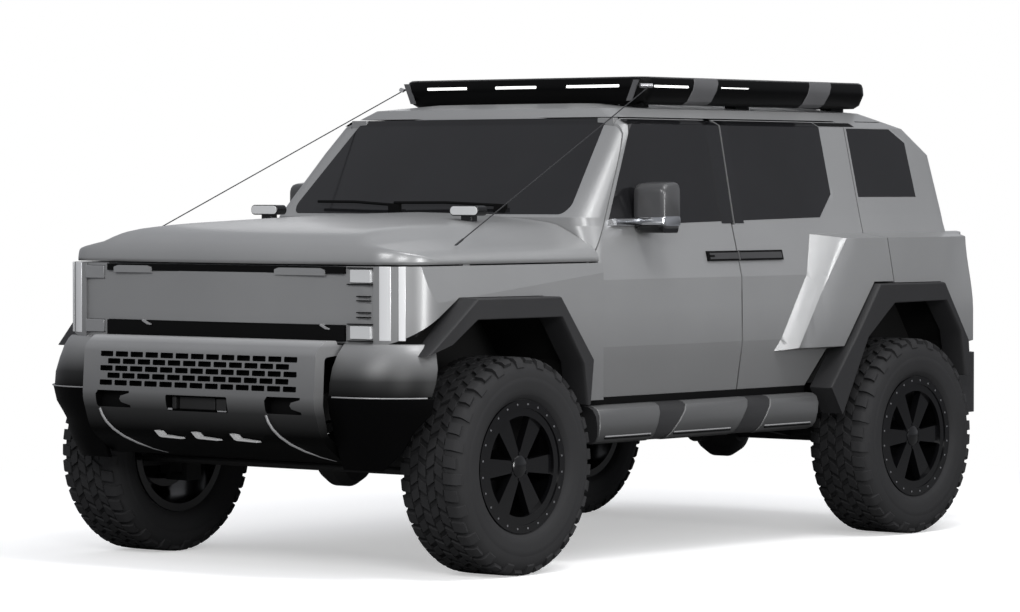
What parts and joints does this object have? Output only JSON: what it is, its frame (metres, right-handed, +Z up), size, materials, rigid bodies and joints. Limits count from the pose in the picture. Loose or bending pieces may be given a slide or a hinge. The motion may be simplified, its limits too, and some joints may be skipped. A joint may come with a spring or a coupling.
{
  "type": "off-road vehicle",
  "caption": "Lifted off-road 4x4 with a hollow cabin, opening hood, doors and tailgate, steered front wheels, live axles, roof rack and armoured bumpers.",
  "frame": {"origin": "on the ground, midway between the bumpers and between the wheels", "axes": "+Z up, front faces -Y, vehicle's left is +X"},
  "size_m": [2.222, 4.35, 2.0449],
  "materials": {
    "body": "satin",
    "cladding": "satin",
    "plastic": "matte",
    "black_metal": "satin",
    "glass": "gloss",
    "lamp": "gloss",
    "tail_lamp": "gloss",
    "cable": "satin",
    "tyre": "matte",
    "rim": "gloss",
    "iron": "matte",
    "frame": "matte",
    "seat": "matte"
  },
  "bodies": {
    "chassis": {"quarter_panels": "body", "cab_frame": "body", "fixed_glass": "glass", "fenders": "body", "front_panel": "body", "headlamps": "lamp", "front_bumper": "body", "bumper_mesh": "black_metal", "bumper_corners": "cladding", "bumper_skirts": "plastic", "rear_bumper": "plastic", "tail_lamps": "tail_lamp", "arch_trims": "plastic", "wheel_housings": "plastic", "side_steps": "cladding", "roof_rack": "black_metal", "front_axle": "iron", "rear_axle": "iron", "suspension": "iron", "frame_rails": "frame", "crossmembers": "frame", "floor_pan": "frame", "engine": "iron", "driveline": "iron", "fuel_tank": "frame", "dashboard": "plastic", "seats": "seat"},
    "hood": {"hood": "body", "ditch_lamps": "black_metal"},
    "tailgate": {"tailgate": "body", "tailgate_glass": "glass"},
    "door_front_left": {"door_front_left": "body", "glass_front_left": "glass", "mirror_left": "plastic"},
    "door_rear_left": {"door_rear_left": "body", "glass_rear_left": "glass"},
    "knuckle_left": {"knuckle_left": "iron"},
    "limb_cable_left": {"limb_cable_left": "cable"},
    "wheel_front_left": {"tyre_front_left": "tyre", "rim_front_left": "rim"},
    "wheel_rear_left": {"tyre_rear_left": "tyre", "rim_rear_left": "rim"},
    "door_front_right": {"door_front_right": "body", "glass_front_right": "glass", "mirror_right": "plastic"},
    "door_rear_right": {"door_rear_right": "body", "glass_rear_right": "glass"},
    "knuckle_right": {"knuckle_right": "iron"},
    "limb_cable_right": {"limb_cable_right": "cable"},
    "wheel_front_right": {"tyre_front_right": "tyre", "rim_front_right": "rim"},
    "wheel_rear_right": {"tyre_rear_right": "tyre", "rim_rear_right": "rim"},
    "tie_rod": {"tie_rod": "iron"},
    "steering_wheel": {"steering_wheel": "plastic"}
  },
  "joints": [
    {"name": "steer_left", "type": "hinge", "parent": "chassis", "child": "knuckle_left", "pos_m": [0.86, -1.404, 0.442], "axis": [0, 0, 1], "range_deg": [-30, 30]},
    {"name": "steer_right", "type": "hinge", "parent": "chassis", "child": "knuckle_right", "pos_m": [-0.86, -1.404, 0.442], "axis": [0, 0, 1], "range_deg": [-30, 30]},
    {"name": "tie_rod_turn", "type": "hinge", "parent": "knuckle_left", "child": "tie_rod", "pos_m": [0.86, -1.584, 0.386], "axis": [0, 0, 1], "range_deg": [-30, 30]},
    {"name": "steering_wheel_turn", "type": "hinge", "parent": "chassis", "child": "steering_wheel", "pos_m": [0.38, -0.06, 1.225], "axis": [0, 0.9063, 0.4226], "range_deg": [-450, 450]},
    {"name": "wheel_front_left_spin", "type": "hinge", "parent": "knuckle_left", "child": "wheel_front_left", "pos_m": [0.953, -1.404, 0.442], "axis": [1, 0, 0], "continuous": true},
    {"name": "wheel_front_right_spin", "type": "hinge", "parent": "knuckle_right", "child": "wheel_front_right", "pos_m": [-0.953, -1.404, 0.442], "axis": [1, 0, 0], "continuous": true},
    {"name": "wheel_rear_left_spin", "type": "hinge", "parent": "chassis", "child": "wheel_rear_left", "pos_m": [0.953, 1.404, 0.442], "axis": [1, 0, 0], "continuous": true},
    {"name": "wheel_rear_right_spin", "type": "hinge", "parent": "chassis", "child": "wheel_rear_right", "pos_m": [-0.953, 1.404, 0.442], "axis": [1, 0, 0], "continuous": true},
    {"name": "hood_lift", "type": "hinge", "parent": "chassis", "child": "hood", "pos_m": [0, -0.745, 1.462], "axis": [-1, 0, 0], "range_deg": [0, 50]},
    {"name": "limb_cable_left_lift", "type": "hinge", "parent": "chassis", "child": "limb_cable_left", "pos_m": [0.7, -0.06, 2.005], "axis": [-1, 0, 0], "range_deg": [0, 45]},
    {"name": "limb_cable_right_lift", "type": "hinge", "parent": "chassis", "child": "limb_cable_right", "pos_m": [-0.7, -0.06, 2.005], "axis": [-1, 0, 0], "range_deg": [0, 45]},
    {"name": "door_front_left_swing", "type": "hinge", "parent": "chassis", "child": "door_front_left", "pos_m": [0.966, -0.725, 1], "axis": [0.0698, 0, -0.9976], "range_deg": [0, 65]},
    {"name": "door_front_right_swing", "type": "hinge", "parent": "chassis", "child": "door_front_right", "pos_m": [-0.966, -0.725, 1], "axis": [0.0698, 0, 0.9976], "range_deg": [0, 65]},
    {"name": "door_rear_left_swing", "type": "hinge", "parent": "chassis", "child": "door_rear_left", "pos_m": [1.049, 1.236, 1], "axis": [0, 0, 1], "range_deg": [0, 65]},
    {"name": "door_rear_right_swing", "type": "hinge", "parent": "chassis", "child": "door_rear_right", "pos_m": [-1.049, 1.236, 1], "axis": [0, 0, -1], "range_deg": [0, 65]},
    {"name": "tailgate_lift", "type": "hinge", "parent": "chassis", "child": "tailgate", "pos_m": [0, 1.608, 1.912], "axis": [1, 0, 0], "range_deg": [0, 75]}
  ],
  "couplings": [
    {"joint": "steer_right", "follows": "steer_left", "ratio": 1},
    {"joint": "tie_rod_turn", "follows": "steer_left", "ratio": -1},
    {"joint": "steering_wheel_turn", "follows": "steer_left", "ratio": 15},
    {"joint": "limb_cable_left_lift", "follows": "hood_lift", "ratio": 0.9},
    {"joint": "limb_cable_right_lift", "follows": "hood_lift", "ratio": 0.9}
  ]
}
